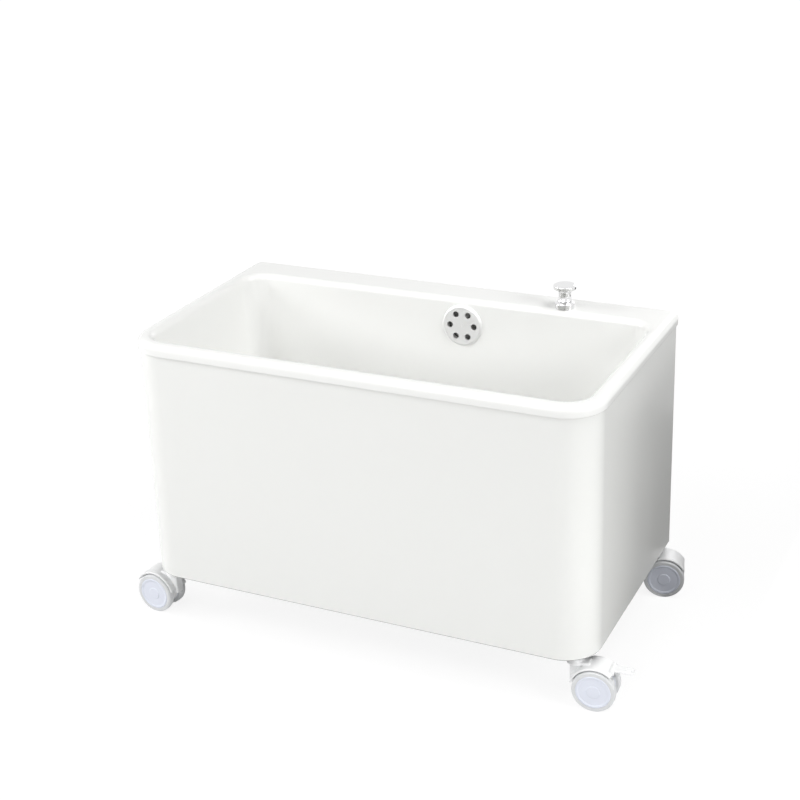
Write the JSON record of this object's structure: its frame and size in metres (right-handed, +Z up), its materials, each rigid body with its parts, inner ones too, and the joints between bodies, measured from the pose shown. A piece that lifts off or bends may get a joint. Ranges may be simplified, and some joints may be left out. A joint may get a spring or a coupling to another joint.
{
  "type": "mop sink",
  "caption": "Low rectangular mop sink on swivel casters, with a deep bowl, rolled rim, rear deck, overflow and a pop-up drain worked by a knob.",
  "frame": {"origin": "on the floor, below the middle of the body's plan outline", "axes": "+Z up, -Y towards the front of the sink (the rear deck and its knob are at +Y), +X to the right seen from the front"},
  "size_m": [0.6823, 0.3299, 0.4128],
  "materials": {
    "shell": "glossy white sanitary acrylic",
    "panels": "glossy white acrylic sheet",
    "chrome": "polished chrome plate",
    "frame_steel": "zinc-grey powder coat",
    "zinc_steel": "bright zinc plate",
    "rubber": "matt black rubber",
    "white_plastic": "satin white polypropylene",
    "caster_plastic": "satin pale grey nylon",
    "wheel_plastic": "satin bluish grey nylon",
    "tread": "grey non-marking thermoplastic rubber"
  },
  "bodies": {
    "sink": {"basin": "shell", "skirt": "panels", "back_panel": "panels", "panel_screws": "zinc_steel", "cross_rails": "frame_steel", "side_rails": "frame_steel", "bearers": "frame_steel", "stem_sockets": "frame_steel", "support_studs": "zinc_steel", "support_pads": "rubber", "skirt_spacers": "white_plastic", "drain_flange": "chrome", "drain_gasket": "rubber", "drain_locknut": "white_plastic", "waste_body": "white_plastic", "slip_nut": "white_plastic", "tailpiece": "white_plastic", "overflow_rosette": "chrome", "overflow_screw": "chrome", "overflow_gasket": "rubber", "overflow_cup": "white_plastic", "overflow_pipe": "white_plastic", "knob_collar": "chrome", "collar_nut": "zinc_steel", "pivot_nut": "white_plastic", "caster_stems": "zinc_steel"},
    "pull_knob": {"knob": "chrome", "lift_rod": "zinc_steel", "lift_strap": "zinc_steel"},
    "lever": {"pivot_rod": "zinc_steel"},
    "plug": {"stopper": "chrome", "stopper_seal": "rubber"},
    "front_left_swivel": {"front_left_hood": "caster_plastic", "front_left_axle": "zinc_steel"},
    "front_left_roll_a": {"front_left_wheel_a": "wheel_plastic", "front_left_tyre_a": "tread"},
    "front_left_roll_b": {"front_left_wheel_b": "wheel_plastic", "front_left_tyre_b": "tread"},
    "front_right_swivel": {"front_right_hood": "caster_plastic", "front_right_axle": "zinc_steel"},
    "front_right_roll_a": {"front_right_wheel_a": "wheel_plastic", "front_right_tyre_a": "tread"},
    "front_right_roll_b": {"front_right_wheel_b": "wheel_plastic", "front_right_tyre_b": "tread"},
    "front_right_brake": {"front_right_brake_pedal": "caster_plastic"},
    "rear_left_swivel": {"rear_left_hood": "caster_plastic", "rear_left_axle": "zinc_steel"},
    "rear_left_roll_a": {"rear_left_wheel_a": "wheel_plastic", "rear_left_tyre_a": "tread"},
    "rear_left_roll_b": {"rear_left_wheel_b": "wheel_plastic", "rear_left_tyre_b": "tread"},
    "rear_left_brake": {"rear_left_brake_pedal": "caster_plastic"},
    "rear_right_swivel": {"rear_right_hood": "caster_plastic", "rear_right_axle": "zinc_steel"},
    "rear_right_roll_a": {"rear_right_wheel_a": "wheel_plastic", "rear_right_tyre_a": "tread"},
    "rear_right_roll_b": {"rear_right_wheel_b": "wheel_plastic", "rear_right_tyre_b": "tread"}
  },
  "joints": [
    {"name": "knob_pull", "type": "slide", "parent": "sink", "child": "pull_knob", "axis": [0, 0, 1], "range_m": [0, 0.024]},
    {"name": "lever_tilt", "type": "hinge", "parent": "sink", "child": "lever", "pos_m": [0.057, 0.05066, 0.111], "axis": [0.6077, -0.7942, 0], "range_deg": [0, 10.2]},
    {"name": "stopper_drop", "type": "slide", "parent": "sink", "child": "plug", "axis": [0, 0, 1], "range_m": [-0.00609, 0]},
    {"name": "front_left_swivel_turn", "type": "hinge", "parent": "sink", "child": "front_left_swivel", "pos_m": [-0.273, -0.137, 0.05], "axis": [0, 0, 1], "continuous": true},
    {"name": "front_left_roll_a_turn", "type": "hinge", "parent": "front_left_swivel", "child": "front_left_roll_a", "pos_m": [-0.29691, -0.13491, 0.026], "axis": [-0.0872, -0.9962, 0], "continuous": true},
    {"name": "front_left_roll_b_turn", "type": "hinge", "parent": "front_left_swivel", "child": "front_left_roll_b", "pos_m": [-0.29691, -0.13491, 0.026], "axis": [-0.0872, -0.9962, 0], "continuous": true},
    {"name": "front_right_swivel_turn", "type": "hinge", "parent": "sink", "child": "front_right_swivel", "pos_m": [0.273, -0.137, 0.05], "axis": [0, 0, 1], "continuous": true},
    {"name": "front_right_roll_a_turn", "type": "hinge", "parent": "front_right_swivel", "child": "front_right_roll_a", "pos_m": [0.29691, -0.13491, 0.026], "axis": [-0.0872, 0.9962, 0], "continuous": true},
    {"name": "front_right_roll_b_turn", "type": "hinge", "parent": "front_right_swivel", "child": "front_right_roll_b", "pos_m": [0.29691, -0.13491, 0.026], "axis": [-0.0872, 0.9962, 0], "continuous": true},
    {"name": "front_right_brake_press", "type": "hinge", "parent": "front_right_swivel", "child": "front_right_brake", "pos_m": [0.31599, -0.13324, 0.05051], "axis": [-0.0872, 0.9962, 0], "range_deg": [0, 10]},
    {"name": "rear_left_swivel_turn", "type": "hinge", "parent": "sink", "child": "rear_left_swivel", "pos_m": [-0.273, 0.137, 0.05], "axis": [0, 0, 1], "continuous": true},
    {"name": "rear_left_roll_a_turn", "type": "hinge", "parent": "rear_left_swivel", "child": "rear_left_roll_a", "pos_m": [-0.297, 0.137, 0.026], "axis": [0, -1, 0], "continuous": true},
    {"name": "rear_left_roll_b_turn", "type": "hinge", "parent": "rear_left_swivel", "child": "rear_left_roll_b", "pos_m": [-0.297, 0.137, 0.026], "axis": [0, -1, 0], "continuous": true},
    {"name": "rear_left_brake_press", "type": "hinge", "parent": "rear_left_swivel", "child": "rear_left_brake", "pos_m": [-0.31615, 0.137, 0.05051], "axis": [0, -1, 0], "range_deg": [0, 10]},
    {"name": "rear_right_swivel_turn", "type": "hinge", "parent": "sink", "child": "rear_right_swivel", "pos_m": [0.273, 0.137, 0.05], "axis": [0, 0, 1], "continuous": true},
    {"name": "rear_right_roll_a_turn", "type": "hinge", "parent": "rear_right_swivel", "child": "rear_right_roll_a", "pos_m": [0.29618, 0.14321, 0.026], "axis": [-0.2588, 0.9659, 0], "continuous": true},
    {"name": "rear_right_roll_b_turn", "type": "hinge", "parent": "rear_right_swivel", "child": "rear_right_roll_b", "pos_m": [0.29618, 0.14321, 0.026], "axis": [-0.2588, 0.9659, 0], "continuous": true}
  ],
  "couplings": [
    {"joint": "lever_tilt", "follows": "knob_pull", "rad_per_m": 7.3417},
    {"joint": "stopper_drop", "follows": "knob_pull", "ratio": -0.24962}
  ]
}
